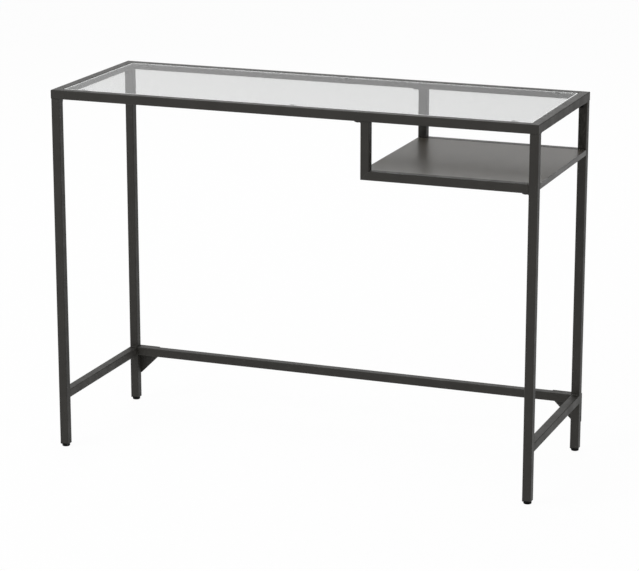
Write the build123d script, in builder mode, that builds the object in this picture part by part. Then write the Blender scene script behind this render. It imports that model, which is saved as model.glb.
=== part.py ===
from build123d import *
import os

# A slim desk: a steel tube frame, a loose glass top and a shelf compartment at the right.
# Millimetres. X runs to the right, Y to the back, Z up, and the origin lies on the floor
# under the middle of the footprint.

# Overall size of the top frame and its height above the floor
table_width = 1000.0
table_depth = 360.0
table_height = 740.0

# Square tube of the top frame
rail_size = 18.0
rail_wall = 1.2
rail_round = 1.5

# Square tube of the legs, stretchers, posts and shelf rails
tube_size = 17.5
tube_wall = 1.2
tube_round = 1.5
tube_bore_round = 0.4

# Glass top and what it lies on
glass_thickness = 5.0
glass_gap = 1.2
glass_drop = 0.5
glass_corner_round = 2.0
glass_edge_round = 1.0
bumper_thickness = 1.5
bumper_diameter = 9.0
rest_tab_width = 12.0
rest_tab_reach = 20.0
rest_tab_end_distance = 57.0

# Plate that the tabs are cut from
plate_thickness = 2.0
tab_width = 14.0
tab_length = 14.5

# Stretchers and the gusset plates behind the back one
stretcher_height = 102.0
gusset_thickness = 3.0
gusset_reach = 62.0
gusset_drop = 61.5
gusset_round = 2.0
gusset_screw_margin = 10.0

# Shelf compartment, measured in from the right end of the top frame and down from its underside
post_distance = 350.0
compartment_height = 95.7
board_thickness = 11.0
board_drop = 0.4
board_gap = 0.3
band_thickness = 1.0
band_round = 0.4
board_tab_distance = 60.0

# Machine screws of the frame, with the nuts inside the tubes
screw_diameter = 5.0
screw_clearance = 0.25
screw_head_diameter = 9.0
screw_head_height = 1.2
screw_head_round = 0.8
leg_screw_head_height = 7.5
screw_tip = 1.0
socket_size = 3.0
socket_depth_share = 0.7
nut_diameter = 9.0
nut_height = 5.0
thread_clearance = 0.1

# Wood screws of the shelf board
wood_screw_diameter = 3.5
wood_screw_bite = 8.0
wood_screw_head_diameter = 7.0

# Levelling feet
leg_end_height = 7.0
insert_flange = 1.5
insert_flange_round = 0.6
insert_depth = 25.0
insert_clearance = 0.1
pad_diameter = 16.0
pad_height = 5.2
pad_round = 1.5
pad_web = 2.6
stud_diameter = 6.0
stud_length = 28.0
stud_clearance = 0.05
stud_head_diameter = 10.0
stud_head_height = 2.0
stud_socket_size = 4.0
stud_socket_depth = 1.4
stud_head_clearance = 0.3
stud_seat_gap = 0.1

# Levels and places that follow from the sizes above
frame_bottom = table_height - rail_size
frame_mid = table_height - rail_size / 2
right_end = table_width / 2
leg_inset = (rail_size - tube_size) / 2
overall_depth = table_depth - leg_inset + gusset_thickness + screw_head_height
front_y = -overall_depth / 2
back_y = front_y + table_depth
middle_y = (front_y + back_y) / 2
front_leg_y = front_y + rail_size / 2
back_leg_y = back_y - rail_size / 2
leg_x = right_end - rail_size / 2
tube_half = tube_size / 2
tube_bore = tube_size - 2 * tube_wall
stretcher_mid = stretcher_height + tube_half
board_top = frame_bottom - compartment_height
shelf_rail_height = board_top + board_drop - tube_size
shelf_rail_mid = shelf_rail_height + tube_half
post_x = right_end - post_distance + tube_half
post_left = post_x - tube_half
leg_inner_x = leg_x - tube_half
leg_outer_x = leg_x + tube_half
leg_back = back_leg_y + tube_half
tab_hole_distance = tab_length - tab_width / 2
screw_hole_diameter = screw_diameter + 2 * screw_clearance
up = (0, 0, 1)
to_right = (1, 0, 0)
to_back = (0, 1, 0)
sides = (("left", -1), ("right", 1))
rows = (("front", front_leg_y, 1), ("back", back_leg_y, -1))

os.makedirs("parts", exist_ok=True)


def save(piece, name):
    piece.part.label = name
    export_step(piece.part, f"parts/{name}.step")


def tube(start, along, across, length, size, wall, outer_round, cuts=(), holes=(), depth=0.0):
    """A square tube from its start point, cut back to the mitre planes, with screw holes in one wall."""
    bore = size - 2 * wall
    with BuildPart() as made:
        with BuildSketch(Plane(origin=start, x_dir=across, z_dir=along)):
            RectangleRounded(size, size, outer_round)
            RectangleRounded(bore, bore, tube_bore_round, mode=Mode.SUBTRACT)
        extrude(amount=length)
        for cut in cuts:
            split(bisect_by=cut, keep=Keep.TOP)
        if holes:
            with BuildSketch(*holes):
                Circle(screw_hole_diameter / 2)
            extrude(amount=depth, mode=Mode.SUBTRACT)
    return made


def round_tabs(roots):
    """Plates that run from the roots along their x axes to a round end, with a screw hole in its middle."""
    with BuildPart() as made:
        with BuildSketch(*roots):
            with Locations((tab_hole_distance / 2, 0)):
                Rectangle(tab_hole_distance, tab_width)
            with Locations((tab_hole_distance, 0)):
                Circle(tab_width / 2)
                Circle(screw_hole_diameter / 2, mode=Mode.SUBTRACT)
        extrude(amount=plate_thickness)
    return made


def screws(seats, diameter, head_diameter, head_height, length):
    """Screws with hexagon sockets: the heads lie behind their seats and the shanks run ahead of them."""
    drive = Axis(seats[0].origin, seats[0].z_dir)
    with BuildPart() as made:
        with BuildSketch(*seats):
            Circle(diameter / 2)
        extrude(amount=length)
        with BuildSketch(*seats):
            Circle(head_diameter / 2)
        extrude(amount=-head_height)
        fillet(made.edges().group_by(drive)[0], screw_head_round)
        with BuildSketch(*[seat.offset(-head_height) for seat in seats]):
            RegularPolygon(socket_size / 2, 6, major_radius=False)
        extrude(amount=socket_depth_share * head_height, mode=Mode.SUBTRACT)
    return made


def nuts(seats):
    """Round nuts that stand on their seats inside a tube."""
    with BuildPart() as made:
        with BuildSketch(*seats):
            Circle(nut_diameter / 2)
            Circle(screw_diameter / 2 + thread_clearance, mode=Mode.SUBTRACT)
        extrude(amount=nut_height)
    return made


def screw_seats(roots):
    """Where the screws' heads lie under a row of tabs."""
    return [root.shift_origin(root.from_local_coords((tab_hole_distance, 0))) for root in roots]


def fasten(seats, grip, head_height, screws_name, nuts_name):
    """Machine screws through a grip of plate and tube wall, and the nuts on the wall's far side."""
    length = grip + nut_height + screw_tip
    save(screws(seats, screw_diameter, screw_head_diameter, head_height, length), screws_name)
    save(nuts([seat.offset(grip) for seat in seats]), nuts_name)


# Roots of the tabs: under the side rails beside each leg, under the top rails beside each
# post, and under the shelf rails beside each right leg
tab_level = frame_bottom - plate_thickness
shelf_tab_level = shelf_rail_height - plate_thickness
leg_tab_roots = [
    Plane(origin=(side * leg_x, row_y + inward * tube_half, tab_level), x_dir=(0, inward, 0), z_dir=up)
    for _, side in sides
    for _, row_y, inward in rows
]
post_tab_roots = [
    Plane(origin=(post_left, row_y, tab_level), x_dir=(-1, 0, 0), z_dir=up) for _, row_y, _ in rows
]
shelf_tab_roots = [
    Plane(origin=(leg_inner_x, row_y, shelf_tab_level), x_dir=(-1, 0, 0), z_dir=up) for _, row_y, _ in rows
]
leg_tab_seats = screw_seats(leg_tab_roots)
post_tab_seats = screw_seats(post_tab_roots)
shelf_tab_seats = screw_seats(shelf_tab_roots)

# Top frame: four rails with mitred corners, the screw holes in their undersides
rail_hole_depth = plate_thickness + rail_size / 2
for index, (row, row_y, inward) in enumerate(rows):
    edge_y = row_y - inward * rail_size / 2
    corners = [Plane((end * right_end, edge_y, 0), z_dir=(-end, -inward, 0)) for end in (-1, 1)]
    long_rail = tube(
        (-right_end, row_y, frame_mid), to_right, to_back, table_width, rail_size, rail_wall, rail_round,
        corners, [post_tab_seats[index]], rail_hole_depth,
    )
    save(long_rail, f"top_{row}_rail")
for index, (side_name, side) in enumerate(sides):
    corners = [
        Plane((side * right_end, row_y - inward * rail_size / 2, 0), z_dir=(side, inward, 0))
        for _, row_y, inward in rows
    ]
    short_rail = tube(
        (side * leg_x, front_y, frame_mid), to_back, to_right, table_depth, rail_size, rail_wall, rail_round,
        corners, leg_tab_seats[2 * index:2 * index + 2], rail_hole_depth,
    )
    save(short_rail, f"top_{side_name}_rail")

# Glass top, a loose pane inside the frame with ground edges
glass_top_level = table_height - glass_drop
glass_bottom = glass_top_level - glass_thickness
pane_width = table_width - 2 * (rail_size + glass_gap)
pane_depth = table_depth - 2 * (rail_size + glass_gap)
with BuildPart() as glass_top:
    with BuildSketch(Plane((0, middle_y, glass_bottom))):
        RectangleRounded(pane_width, pane_depth, glass_corner_round)
    extrude(amount=glass_thickness)
    fillet(glass_top.edges().group_by(Axis.Z)[0] + glass_top.edges().group_by(Axis.Z)[-1], glass_edge_round)
save(glass_top, "glass_top")

# Tabs inside the front and back rails, with a clear bumper on each, that carry the glass
rest_tab_top = glass_bottom - bumper_thickness
rest_tab_x = (-(right_end - rest_tab_end_distance), 0, right_end - rest_tab_end_distance)
rest_tab_roots = [
    Plane(origin=(x, row_y + inward * rail_size / 2, rest_tab_top), x_dir=(0, inward, 0), z_dir=up)
    for _, row_y, inward in rows
    for x in rest_tab_x
]
with BuildPart() as glass_rest_tabs:
    with BuildSketch(*rest_tab_roots):
        with Locations((rest_tab_reach / 2, 0)):
            Rectangle(rest_tab_reach, rest_tab_width)
    extrude(amount=-plate_thickness)
save(glass_rest_tabs, "glass_rest_tabs")
with BuildPart() as glass_bumpers:
    with BuildSketch(*rest_tab_roots):
        with Locations((glass_gap + (rest_tab_reach - glass_gap) / 2, 0)):
            Circle(bumper_diameter / 2)
    extrude(amount=bumper_thickness)
save(glass_bumpers, "glass_bumpers")

# Gusset screws go in from the back: one level with the stretcher, one near the plate's lower end
gusset_top = stretcher_height + tube_size
gusset_bottom = gusset_top - gusset_drop
gusset_back = leg_back + gusset_thickness
gusset_screw_levels = (stretcher_mid, gusset_bottom + gusset_screw_margin)
gusset_seats = [
    Plane(origin=(side * leg_x, gusset_back, level), x_dir=to_right, z_dir=(0, -1, 0))
    for _, side in sides
    for level in gusset_screw_levels
]

# Legs under the corners of the frame, the back ones with screw holes for the gusset plates
for index, (side_name, side) in enumerate(sides):
    for row, row_y, _ in rows:
        seats = gusset_seats[2 * index:2 * index + 2] if row == "back" else []
        leg = tube(
            (side * leg_x, row_y, leg_end_height), up, to_right, frame_bottom - leg_end_height,
            tube_size, tube_wall, tube_round, (), seats, gusset_thickness + tube_half,
        )
        save(leg, f"{row}_{side_name}_leg")

# Tabs welded to the leg tops, screwed up into the side rails with tall heads
save(round_tabs(leg_tab_roots), "leg_top_tabs")
fasten(leg_tab_seats, plate_thickness + rail_wall, leg_screw_head_height, "leg_top_screws", "leg_top_nuts")

# Stretchers: one between the legs of each side, one between the back legs
leg_gap_y = back_leg_y - front_leg_y - tube_size
for side_name, side in sides:
    side_stretcher = tube(
        (side * leg_x, front_leg_y + tube_half, stretcher_mid), to_back, to_right, leg_gap_y,
        tube_size, tube_wall, tube_round,
    )
    save(side_stretcher, f"{side_name}_side_stretcher")
back_stretcher = tube(
    (-leg_inner_x, back_leg_y, stretcher_mid), to_right, to_back, 2 * leg_inner_x,
    tube_size, tube_wall, tube_round,
)
save(back_stretcher, "back_stretcher")

# Gusset plates: welded to the back of the stretcher and screwed to the backs of the legs
for side_name, side in sides:
    with BuildPart() as gusset_plate:
        with BuildSketch(Plane.XZ.offset(-leg_back)) as outline:
            with BuildLine():
                Polyline(
                    (side * (leg_outer_x - gusset_reach), stretcher_height),
                    (side * (leg_outer_x - gusset_reach), gusset_top),
                    (side * leg_outer_x, gusset_top),
                    (side * leg_outer_x, gusset_bottom),
                    (side * leg_inner_x, gusset_bottom),
                    close=True,
                )
            make_face()
            fillet(outline.vertices(), gusset_round)
            with Locations(*[(side * leg_x, level) for level in gusset_screw_levels]):
                Circle(screw_hole_diameter / 2, mode=Mode.SUBTRACT)
        extrude(amount=-gusset_thickness)
    save(gusset_plate, f"{side_name}_gusset_plate")
fasten(gusset_seats, gusset_thickness + tube_wall, screw_head_height, "gusset_screws", "gusset_nuts")

# Shelf compartment: a post and a rail at the front and at the back, mitred where they meet
for index, (row, row_y, _) in enumerate(rows):
    corner = (post_left, row_y, shelf_rail_height)
    post = tube(
        (post_x, row_y, shelf_rail_height), up, to_right, frame_bottom - shelf_rail_height,
        tube_size, tube_wall, tube_round, [Plane(corner, z_dir=(-1, 0, 1))],
    )
    save(post, f"shelf_{row}_post")
    shelf_rail = tube(
        (post_left, row_y, shelf_rail_mid), to_right, to_back, leg_inner_x - post_left,
        tube_size, tube_wall, tube_round, [Plane(corner, z_dir=(1, 0, -1))],
        [shelf_tab_seats[index]], plate_thickness + tube_half,
    )
    save(shelf_rail, f"shelf_{row}_rail")

# Tabs welded to the post tops under the top rails, and to the right legs under the shelf rails
save(round_tabs(post_tab_roots), "post_top_tabs")
fasten(post_tab_seats, plate_thickness + rail_wall, screw_head_height, "post_top_screws", "post_top_nuts")
save(round_tabs(shelf_tab_roots), "shelf_end_tabs")
fasten(shelf_tab_seats, plate_thickness + tube_wall, screw_head_height, "shelf_end_screws", "shelf_end_nuts")

# Shelf board between the shelf rails, its ends flush with the posts and the right legs
board_bottom = board_top - board_thickness
board_front = front_leg_y + tube_half + board_gap
board_back = back_leg_y - tube_half - board_gap
board_depth = board_back - board_front
board_left = post_left + band_thickness
board_right = leg_outer_x - band_thickness
board_tab_x = (post_left + board_tab_distance, leg_inner_x - board_tab_distance)
board_tab_roots = [
    Plane(
        origin=(x, row_y + inward * tube_half, board_bottom - plate_thickness),
        x_dir=(0, inward, 0),
        z_dir=up,
    )
    for _, row_y, inward in rows
    for x in board_tab_x
]
board_screw_seats = screw_seats(board_tab_roots)
with BuildPart() as shelf_board:
    with BuildSketch(Plane(((board_left + board_right) / 2, middle_y, board_bottom))):
        Rectangle(board_right - board_left, board_depth)
    extrude(amount=board_thickness)
    with BuildSketch(*board_screw_seats):
        Circle(wood_screw_diameter / 2 + thread_clearance)
    extrude(amount=plate_thickness + wood_screw_bite + screw_tip, mode=Mode.SUBTRACT)
save(shelf_board, "shelf_board")
band_x = {"left": board_left - band_thickness / 2, "right": board_right + band_thickness / 2}
for side_name, side in sides:
    with BuildPart() as edge_band:
        with BuildSketch(Plane((band_x[side_name], middle_y, board_bottom))):
            Rectangle(band_thickness, board_depth)
        extrude(amount=board_thickness)
        outer_edges = edge_band.edges().filter_by(Axis.Y).group_by(Axis.X)[0 if side < 0 else -1]
        fillet(outer_edges, band_round)
    save(edge_band, f"shelf_{side_name}_edge_band")

# Tabs welded inside the shelf rails, and the screws that go up through them into the board
save(round_tabs(board_tab_roots), "shelf_rest_tabs")
wood_screw_length = plate_thickness + wood_screw_bite
board_screws = screws(
    board_screw_seats, wood_screw_diameter, wood_screw_head_diameter, screw_head_height, wood_screw_length
)
save(board_screws, "shelf_screws")

# Levelling feet: a threaded insert in each leg's end, and a round pad on a stud that turns in it
insert_bottom = leg_end_height - insert_flange
plug_size = tube_bore - 2 * insert_clearance
stud_seat = pad_height - pad_web - stud_seat_gap
stud_bore = stud_diameter / 2 + stud_clearance
for side_name, side in sides:
    for row, row_y, _ in rows:
        corner_name = f"{row}_{side_name}"
        floor_plane = Plane((side * leg_x, row_y, 0))
        with BuildPart() as insert:
            with BuildSketch(floor_plane.offset(insert_bottom)):
                RectangleRounded(tube_size, tube_size, tube_round)
            extrude(amount=insert_flange)
            fillet(insert.edges().group_by(Axis.Z)[0], insert_flange_round)
            with BuildSketch(floor_plane.offset(leg_end_height)):
                RectangleRounded(plug_size, plug_size, tube_bore_round)
            extrude(amount=insert_depth)
            with BuildSketch(floor_plane.offset(insert_bottom)):
                Circle(stud_bore)
            extrude(amount=insert_flange + insert_depth, mode=Mode.SUBTRACT)
        save(insert, f"{corner_name}_foot_insert")
        with BuildPart() as pad:
            with BuildSketch(floor_plane):
                Circle(pad_diameter / 2)
            extrude(amount=pad_height)
            fillet(pad.edges().group_by(Axis.Z)[0], pad_round)
            with BuildSketch(floor_plane):
                Circle(stud_bore)
            extrude(amount=pad_height, mode=Mode.SUBTRACT)
            with BuildSketch(floor_plane):
                Circle(stud_head_diameter / 2 + stud_head_clearance)
            extrude(amount=pad_height - pad_web, mode=Mode.SUBTRACT)
        save(pad, f"{corner_name}_foot_pad")
        with BuildPart() as stud:
            with BuildSketch(floor_plane.offset(stud_seat)):
                Circle(stud_diameter / 2)
            extrude(amount=stud_length)
            with BuildSketch(floor_plane.offset(stud_seat)):
                Circle(stud_head_diameter / 2)
            extrude(amount=-stud_head_height)
            with BuildSketch(floor_plane.offset(stud_seat - stud_head_height)):
                RegularPolygon(stud_socket_size / 2, 6, major_radius=False)
            extrude(amount=stud_socket_depth, mode=Mode.SUBTRACT)
        save(stud, f"{corner_name}_foot_stud")
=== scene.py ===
import math

import bmesh
import bpy
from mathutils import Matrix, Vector


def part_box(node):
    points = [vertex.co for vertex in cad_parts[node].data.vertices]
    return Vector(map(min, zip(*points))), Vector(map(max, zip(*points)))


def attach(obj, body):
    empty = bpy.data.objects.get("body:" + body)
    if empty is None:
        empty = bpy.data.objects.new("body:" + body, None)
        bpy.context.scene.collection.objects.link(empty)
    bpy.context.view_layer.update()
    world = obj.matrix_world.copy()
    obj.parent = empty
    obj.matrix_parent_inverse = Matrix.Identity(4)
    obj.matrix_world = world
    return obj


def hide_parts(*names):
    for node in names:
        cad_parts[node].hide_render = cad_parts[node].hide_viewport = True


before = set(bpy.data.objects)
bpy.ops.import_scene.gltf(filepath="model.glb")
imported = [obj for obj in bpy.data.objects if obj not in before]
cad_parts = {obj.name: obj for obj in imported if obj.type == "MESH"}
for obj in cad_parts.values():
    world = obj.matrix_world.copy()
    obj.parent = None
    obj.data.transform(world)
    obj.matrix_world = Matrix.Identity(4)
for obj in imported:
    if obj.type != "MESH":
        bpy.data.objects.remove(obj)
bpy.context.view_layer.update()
scene = bpy.context.scene


# Finishes

class Finish:
    """A material with one shader, and short calls for the nodes that feed it. Lengths are in metres."""

    def __init__(self, name, **sockets):
        self.material = bpy.data.materials.new(name)
        self.material.use_nodes = True
        self.tree = self.material.node_tree
        self.shader = self.tree.nodes["Principled BSDF"]
        for socket, value in sockets.items():
            self.shader.inputs[socket.replace("_", " ")].default_value = value
        self.place = self.add("ShaderNodeTexCoord").outputs["Object"]
        self.normal = None

    def add(self, kind, links=None, values=None, **settings):
        """A new node with its settings, its socket values and its links."""
        node = self.tree.nodes.new(kind)
        for key, value in settings.items():
            setattr(node, key, value)
        for socket, value in (values or {}).items():
            node.inputs[socket].default_value = value
        for socket, source in (links or {}).items():
            self.tree.links.new(source, node.inputs[socket])
        return node

    def noise(self, scale, detail=2.0, stretch=(1, 1, 1)):
        """Soft noise with features of about one part in scale of a metre, stretched along the axes."""
        place = self.add("ShaderNodeMapping", {"Vector": self.place}, {"Scale": stretch})
        values = {"Scale": scale, "Detail": detail}
        return self.add("ShaderNodeTexNoise", {"Vector": place.outputs["Vector"]}, values).outputs["Fac"]

    def spread(self, source, low, high, start=0.35, end=0.65):
        """The source's span from start to end, spread from low to high."""
        values = {"From Min": start, "From Max": end, "To Min": low, "To Max": high}
        return self.add("ShaderNodeMapRange", {"Value": source}, values).outputs["Result"]

    def combine(self, operation, first, second):
        """One number from two others, such as their product or the larger of them."""
        return self.add("ShaderNodeMath", {0: first, 1: second}, operation=operation).outputs["Value"]

    def edges(self, radius):
        """Near 1 along outer edges and near 0 on flat faces."""
        rounded = self.add("ShaderNodeBevel", None, {"Radius": radius}, samples=6).outputs["Normal"]
        plain = self.add("ShaderNodeNewGeometry").outputs["Normal"]
        agreement = self.add("ShaderNodeVectorMath", {0: rounded, 1: plain}, operation="DOT_PRODUCT")
        return self.spread(agreement.outputs["Value"], 1.0, 0.0, 0.9, 0.995)

    def rim(self, low, high, width):
        """1 within width of the sides of the box from low to high, seen from above, and 0 further in."""
        middle = (low + high) / 2
        half = (high - low) / 2
        offset = self.add("ShaderNodeVectorMath", {0: self.place}, {1: middle}, operation="SUBTRACT")
        across = self.add("ShaderNodeVectorMath", {0: offset.outputs["Vector"]}, operation="ABSOLUTE")
        outer = {1: across.outputs["Vector"]}
        inset = self.add("ShaderNodeVectorMath", outer, {0: half}, operation="SUBTRACT")
        sides = self.add("ShaderNodeSeparateXYZ", {"Vector": inset.outputs["Vector"]}).outputs
        nearest = self.combine("MINIMUM", sides["X"], sides["Y"])
        return self.spread(nearest, 1.0, 0.0, 0.8 * width, 1.2 * width)

    def blend(self, share, first, second):
        """A colour between two others, each a colour or another node's output."""
        node = self.add("ShaderNodeMix", {"Factor": share}, data_type="RGBA")
        for socket, colour in zip(node.inputs[6:8], (first, second)):
            if isinstance(colour, tuple):
                socket.default_value = (*colour, 1.0)
            else:
                self.tree.links.new(colour, socket)
        return node.outputs[2]

    def feed(self, socket, source):
        self.tree.links.new(source, self.shader.inputs[socket])

    def bump(self, height, strength, distance):
        """Adds one layer of relief on top of the layers before it."""
        links = {"Height": height}
        if self.normal:
            links["Normal"] = self.normal
        values = {"Strength": strength, "Distance": distance}
        self.normal = self.add("ShaderNodeBump", links, values).outputs["Normal"]
        self.feed("Normal", self.normal)


def powder_coat():
    """Dark, faintly warm powder coat: fine grain over orange peel, rubbed paler in places on the edges."""
    made = Finish("powder_coat", IOR=1.42)
    cloud = made.noise(16, 4)
    grain = made.noise(1100, 3)
    wear = made.combine("MULTIPLY", made.edges(0.0012), made.spread(made.noise(70, 5), 0.0, 0.4))
    coat = made.blend(made.spread(cloud, 0, 1), (0.0130, 0.0116, 0.0090), (0.0170, 0.0154, 0.0124))
    flecked = made.blend(made.spread(grain, 0, 0.5, 0.58, 0.75), coat, (0.034, 0.033, 0.031))
    made.feed("Base Color", made.blend(wear, flecked, (0.060, 0.057, 0.052)))
    made.feed("Roughness", made.spread(made.noise(45, 4), 0.53, 0.61))
    made.bump(made.noise(240, 1), 0.10, 0.0004)
    made.bump(grain, 0.16, 0.0002)
    return made.material


def shelf_foil():
    """Dark foil on the shelf board, with a fine lengthwise emboss that blurs what it mirrors."""
    made = Finish("dark_foil", IOR=1.3)
    fibres = made.noise(1100, 4, (0.10, 1, 1))
    cloud = made.noise(6, 3)
    foil = made.blend(made.spread(cloud, 0, 1), (0.062, 0.0555, 0.0465), (0.069, 0.0618, 0.0520))
    made.feed("Base Color", made.blend(made.spread(fibres, 0, 0.6), foil, (0.074, 0.0665, 0.0562)))
    made.feed("Roughness", made.spread(fibres, 0.28, 0.31))
    made.bump(fibres, 0.05, 0.0001)
    return made.material


def edge_band():
    """Plain dark plastic band on the board's ends, rubbed paler along its edges."""
    made = Finish("band_plastic", IOR=1.48)
    fibres = made.noise(220, 4, (1, 0.08, 1))
    band = made.blend(made.spread(fibres, 0, 1), (0.034, 0.0322, 0.0296), (0.043, 0.0408, 0.0376))
    made.feed("Base Color", made.blend(made.edges(0.0006), band, (0.058, 0.055, 0.051)))
    made.feed("Roughness", made.spread(fibres, 0.38, 0.50))
    made.bump(fibres, 0.08, 0.0002)
    return made.material


def clear_glass():
    """Clear float glass, faintly green, with a ground rim and faint wipe marks on its faces."""
    made = Finish("float_glass", IOR=1.33)
    wipes = made.noise(9, 6, (1, 2.5, 1))
    tint = made.blend(made.spread(wipes, 0, 1), (0.985, 0.995, 0.990), (0.995, 1.0, 0.998))
    made.feed("Base Color", tint)
    edge = made.rim(*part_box("glass_top"), 0.0018)
    ground = made.combine("MULTIPLY", edge, made.spread(made.noise(900, 3), 0.5, 0.7))
    made.feed("Roughness", made.combine("MAXIMUM", made.spread(wipes, 0.0, 0.012, 0.45, 0.75), ground))
    made.feed("Transmission Weight", made.spread(edge, 1.0, 0.15, 0.0, 1.0))
    return made.material


def clear_bumper():
    """Clear soft plastic of the bumpers, slightly cloudy."""
    made = Finish("soft_bumper", Transmission_Weight=0.9, IOR=1.45)
    cloud = made.noise(500, 3)
    made.feed("Base Color", made.blend(made.spread(cloud, 0, 1), (0.80, 0.82, 0.82), (0.92, 0.93, 0.93)))
    made.feed("Roughness", made.spread(cloud, 0.10, 0.28))
    made.bump(made.noise(1500, 2), 0.08, 0.0001)
    return made.material


def metal(name, dark, pale, rough_low, rough_high):
    """Turned metal with faint tool rings, scuffed brighter along its edges."""
    made = Finish(name, Metallic=1.0)
    rings = made.noise(1800, 3, (0.3, 0.3, 1))
    scuffs = made.combine("MULTIPLY", made.edges(0.0005), made.spread(made.noise(300, 4), 0.2, 0.9))
    tone = made.blend(made.spread(rings, 0, 1), dark, pale)
    made.feed("Base Color", made.blend(scuffs, tone, tuple(min(1.0, 1.5 * share) for share in pale)))
    made.feed("Roughness", made.spread(made.noise(400, 4), rough_low, rough_high))
    made.bump(rings, 0.10, 0.0001)
    return made.material


def moulded_plastic():
    """Black moulded plastic of the feet, with a fine matt texture and scuffed edges."""
    made = Finish("moulded_plastic", IOR=1.2)
    grain = made.noise(1600, 3)
    cloud = made.noise(60, 3)
    scuffs = made.combine("MULTIPLY", made.edges(0.0008), made.spread(made.noise(220, 5), 0.0, 0.7))
    tone = made.blend(made.spread(cloud, 0, 1), (0.0010, 0.0010, 0.0011), (0.0020, 0.0020, 0.0021))
    made.feed("Base Color", made.blend(scuffs, tone, (0.010, 0.010, 0.011)))
    made.feed("Roughness", made.spread(grain, 0.52, 0.68))
    made.bump(grain, 0.14, 0.0002)
    return made.material


finishes = {
    "frame_steel": powder_coat(),
    "glass": clear_glass(),
    "clear_bumper": clear_bumper(),
    "shelf_foil": shelf_foil(),
    "edge_band": edge_band(),
    "screw_steel": metal("black_screw", (0.0030, 0.0030, 0.0030), (0.0065, 0.0065, 0.0065), 0.42, 0.56),
    "nut_steel": metal("zinc_nut", (0.48, 0.49, 0.50), (0.62, 0.62, 0.62), 0.28, 0.42),
    "stud_steel": metal("zinc_stud", (0.50, 0.51, 0.52), (0.64, 0.64, 0.64), 0.24, 0.36),
    "foot_plastic": moulded_plastic(),
}
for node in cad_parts.values():
    for slot in node.material_slots:
        slot.material = finishes[slot.material.name]


# Pieces added to the CAD nodes

def skin(mesh, rings):
    """A closed skin over rings of points, from the first ring to the last."""
    for first, second in zip(rings, rings[1:]):
        for index in range(len(first)):
            after = (index + 1) % len(first)
            mesh.faces.new((first[index], first[after], second[after], second[index]))
    mesh.faces.new(rings[0])
    mesh.faces.new(rings[-1])


def new_piece(name, mesh, body, slot):
    """A piece made of the mesh, in the finish of a material slot, that moves with a body."""
    bmesh.ops.recalc_face_normals(mesh, faces=mesh.faces)
    data = bpy.data.meshes.new(name)
    mesh.to_mesh(data)
    mesh.free()
    data.shade_smooth()
    data.set_sharp_from_angle(angle=math.radians(40))
    data.materials.append(finishes[slot])
    piece = bpy.data.objects.new(name, data)
    scene.collection.objects.link(piece)
    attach(piece, body)
    return piece


x_axis = Vector((1, 0, 0))
y_axis = Vector((0, 1, 0))
z_axis = Vector((0, 0, 1))
rows = (("front", y_axis), ("back", -y_axis))
legs = {(row, side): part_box(f"{row}_{side}_leg") for row, _ in rows for side in ("left", "right")}


def inner_face(row, low, high):
    """The Y of the side that faces the middle of the desk, of a box in the front or back row."""
    return high.y if row == "front" else low.y


# Weld beads

tube_round = 0.0015
plate_thickness = 0.0020
board_tab_width = 0.014
glass_tab_width = 0.012
stretcher_weld = 0.0026
groove_weld = 0.0011
groove_depth = 0.0012
tab_weld = 0.0024
tab_weld_half = 0.0056
gusset_weld = 0.0022
gusset_weld_margin = 0.003


def bead(mesh, start, end, wall, ledge, size):
    """One fillet weld in the corner from start to end, reaching size along the wall and along the ledge."""
    step_length = 0.0004
    ripple_length = 0.0017
    ripple_height = 0.09
    crown_height = 0.16
    crown_lag = 0.22
    root_depth = 0.15
    end_share = 0.45
    along = (end - start).normalized()
    outward = (wall + ledge).normalized()
    length = (end - start).length
    count = max(10, round(length / step_length))
    rings = []
    for step in range(count + 1):
        share = step / count
        taper = min(1.0, end_share + 5 * share * (1 - share))
        ripple = 1 + ripple_height * math.cos(2 * math.pi * share * length / ripple_length)
        reach = size * taper * ripple
        middle = start.lerp(end, share)
        ring = [mesh.verts.new(middle - outward * root_depth * size)]
        for part in range(6):
            turn = part / 5
            crown = math.sin(math.pi * turn)
            point = middle + reach * (wall * (1 - turn) + ledge * turn + outward * crown_height * crown)
            ring.append(mesh.verts.new(point - along * crown_lag * size * crown))
        rings.append(ring)
    skin(mesh, rings)


def weld_piece(name, beads):
    """One piece of the frame made of several beads."""
    mesh = bmesh.new()
    for one in beads:
        bead(mesh, *one)
    new_piece(name, mesh, "root", "frame_steel")


# Side stretchers to the legs: a fillet above and below, and a filled groove at each flush side
stretcher_beads = []
for side in ("left", "right"):
    low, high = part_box(f"{side}_side_stretcher")
    for y, inward in ((low.y, y_axis), (high.y, -y_axis)):
        for z, outward in ((high.z, z_axis), (low.z, -z_axis)):
            start = Vector((low.x + tube_round, y, z))
            end = Vector((high.x - tube_round, y, z))
            stretcher_beads.append((start, end, outward, inward, stretcher_weld))
        for x, outward in ((low.x, -x_axis), (high.x, x_axis)):
            root = Vector((x, y, 0)) - outward * groove_depth
            start = root + z_axis * (low.z + tube_round)
            end = root + z_axis * (high.z - tube_round)
            leg_side = outward - inward * 1.1
            stretcher_side = outward + inward * 0.6
            stretcher_beads.append((start, end, leg_side, stretcher_side, groove_weld))
weld_piece("stretcher_welds", stretcher_beads)

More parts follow.
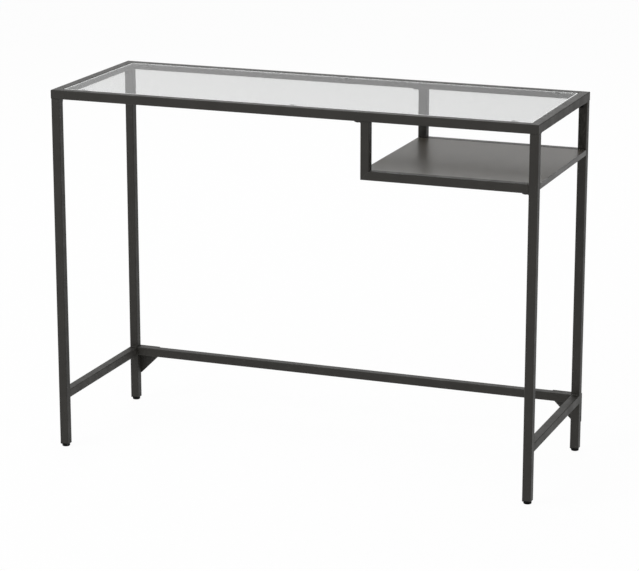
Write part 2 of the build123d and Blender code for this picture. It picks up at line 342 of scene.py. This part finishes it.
# Tabs: a fillet under the root of each. A root has its middle, its direction and the way its tab points.
tab_roots = []
glass_low, glass_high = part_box("glass_rest_tabs")
board_low, board_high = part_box("shelf_rest_tabs")
for row, inward in rows:
    for side in ("left", "right"):
        low, high = legs[row, side]
        root = Vector(((low.x + high.x) / 2, inner_face(row, low, high), high.z - plate_thickness))
        tab_roots.append((root, x_axis, inward))
    low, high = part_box(f"shelf_{row}_post")
    middle = (low.y + high.y) / 2
    tab_roots.append((Vector((low.x, middle, high.z - plate_thickness)), y_axis, -x_axis))
    low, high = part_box(f"shelf_{row}_rail")
    tab_roots.append((Vector((high.x, middle, low.z - plate_thickness)), y_axis, -x_axis))
    for x in (board_low.x + board_tab_width / 2, board_high.x - board_tab_width / 2):
        tab_roots.append((Vector((x, inner_face(row, low, high), board_low.z)), x_axis, inward))
    low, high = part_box(f"top_{row}_rail")
    for x in (glass_low.x + glass_tab_width / 2, (low.x + high.x) / 2, glass_high.x - glass_tab_width / 2):
        tab_roots.append((Vector((x, inner_face(row, low, high), glass_low.z)), x_axis, inward))
tab_beads = [
    (root - across * tab_weld_half, root + across * tab_weld_half, -z_axis, outward, tab_weld)
    for root, across, outward in tab_roots
]
weld_piece("tab_welds", tab_beads)

# Gusset plates to the back stretcher: a fillet along the inner end of each
gusset_beads = []
stretcher_low, stretcher_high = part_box("back_stretcher")
for side, inward in (("left", x_axis), ("right", -x_axis)):
    low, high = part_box(f"{side}_gusset_plate")
    x = high.x if side == "left" else low.x
    start = Vector((x, stretcher_high.y, stretcher_low.z + gusset_weld_margin))
    end = Vector((x, stretcher_high.y, stretcher_high.z - gusset_weld_margin))
    gusset_beads.append((start, end, y_axis, inward, gusset_weld))
weld_piece("gusset_welds", gusset_beads)


# Studs of the feet, with their threads

def threaded_stud(corner):
    """A stud with a hexagon socket in its head, and a ridge of one millimetre pitch wound around its core."""
    head_height = 0.0020
    head_chamfer = 0.0003
    tip_chamfer = 0.0005
    socket_half = 0.0020
    socket_depth = 0.0014
    core = 0.00245
    crest = 0.00298
    pitch = 0.0010
    sunk = -0.0001
    facets = 24
    low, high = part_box(f"{corner}_foot_stud")
    middle = (low + high) / 2
    head = (high.x - low.x) / 2
    neck = low.z + head_height
    mesh = bmesh.new()

    def point(facet, radius, z):
        angle = 2 * math.pi * facet / facets
        return mesh.verts.new((middle.x + radius * math.cos(angle), middle.y + radius * math.sin(angle), z))

    socket = [socket_half / math.cos(2 * math.pi * (facet % 4 - 2) / facets) for facet in range(facets)]
    outline = (
        (socket, low.z + socket_depth),
        (socket, low.z),
        ([head - head_chamfer] * facets, low.z),
        ([head] * facets, low.z + head_chamfer),
        ([head] * facets, neck),
        ([core] * facets, neck),
        ([core] * facets, high.z - tip_chamfer),
        ([core - tip_chamfer] * facets, high.z),
    )
    skin(mesh, [[point(facet, radii[facet], z) for facet in range(facets)] for radii, z in outline])
    count = round(facets * ((high.z - neck) / pitch - 1.5))
    ridge = []
    for step in range(count + 1):
        z = neck + pitch * (0.5 + step / facets)
        rise = (crest - core) * max(0.1, min(1.0, 2 * step / facets, 2 * (count - step) / facets))
        section = ((sunk, -0.44), (rise, -0.07), (rise, 0.07), (sunk, 0.44))
        ridge.append([point(step, core + out, z + pitch * up) for out, up in section])
    skin(mesh, ridge)
    piece = new_piece(f"{corner}_threaded_stud", mesh, f"{corner}_stud", "stud_steel")
    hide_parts(f"{corner}_foot_stud")


for row, side in legs:
    threaded_stud(f"{row}_{side}")


# Floor

def floor_finish():
    """Pale floor that shows white to the eye and in glass and gloss, and still takes a soft shadow."""
    made = Finish("floor")
    plain = made.add("ShaderNodeBsdfDiffuse", None, {"Color": (0.80, 0.80, 0.80, 1)})
    white = made.add("ShaderNodeEmission", None, {"Color": (1, 1, 1, 1)})
    path = made.add("ShaderNodeLightPath").outputs
    seen = made.combine("MAXIMUM", path["Is Camera Ray"], path["Is Glossy Ray"])
    seen = made.combine("MAXIMUM", seen, path["Is Transmission Ray"])
    share = made.spread(seen, 0.0, 0.95, 0.0, 1.0)
    links = {0: share, 1: plain.outputs["BSDF"], 2: white.outputs["Emission"]}
    mix = made.add("ShaderNodeMixShader", links)
    made.tree.nodes.remove(made.shader)
    made.tree.links.new(mix.outputs["Shader"], made.tree.nodes["Material Output"].inputs["Surface"])
    return made.material


floor_mesh = bmesh.new()
bmesh.ops.create_grid(floor_mesh, x_segments=8, y_segments=8, size=40)
floor_data = bpy.data.meshes.new("floor")
floor_mesh.to_mesh(floor_data)
floor_mesh.free()
floor_data.materials.append(floor_finish())
floor = bpy.data.objects.new("floor", floor_data)
scene.collection.objects.link(floor)


# Studio: a grey room that is paler overhead and to the left, and three large soft lamps

scene.view_settings.view_transform = "Standard"
world = bpy.data.worlds.new("studio")
world.use_nodes = True
scene.world = world
room = world.node_tree
direction = room.nodes.new("ShaderNodeTexCoord")
tilt = room.nodes.new("ShaderNodeVectorMath")
tilt.operation = "DOT_PRODUCT"
tilt.inputs[1].default_value = (-0.6, 0, 0.8)
shade = room.nodes.new("ShaderNodeValToRGB")
for element, place, grey in zip(shade.color_ramp.elements, (0.30, 0.75), (0.44, 0.90)):
    element.position = place
    element.color = (grey, grey, grey, 1)
room.links.new(direction.outputs["Generated"], tilt.inputs[0])
room.links.new(tilt.outputs["Value"], shade.inputs["Fac"])
room.links.new(shade.outputs["Color"], room.nodes["Background"].inputs["Color"])


def lamp(name, place, power):
    """A square soft lamp that faces the middle of the desk."""
    data = bpy.data.lights.new(name, "AREA")
    data.size = 2.4
    data.energy = power
    made = bpy.data.objects.new(name, data)
    made.location = place
    made.rotation_euler = (Vector((0, 0, 0.45)) - Vector(place)).to_track_quat("-Z", "Y").to_euler()
    scene.collection.objects.link(made)


lamp("key", (-2.4, -2.8, 2.8), 74)
lamp("fill", (3.0, -2.4, 2.2), 32)
lamp("back", (-1.0, 3.0, 3.0), 41)


# Camera near the photograph's viewpoint, tilted down instead of shifted

image_width = 639
focal_pixels = 2549.9
down_degrees = 14.90
turn_degrees = 20.87
camera_data = bpy.data.cameras.new("camera")
camera_data.sensor_width = 36.0
camera_data.lens = camera_data.sensor_width * focal_pixels / image_width
camera = bpy.data.objects.new("camera", camera_data)
camera.location = (1.7632, -4.6285, 1.6604)
camera.rotation_euler = (math.radians(90 - down_degrees), 0, math.radians(turn_degrees))
scene.collection.objects.link(camera)
scene.camera = camera
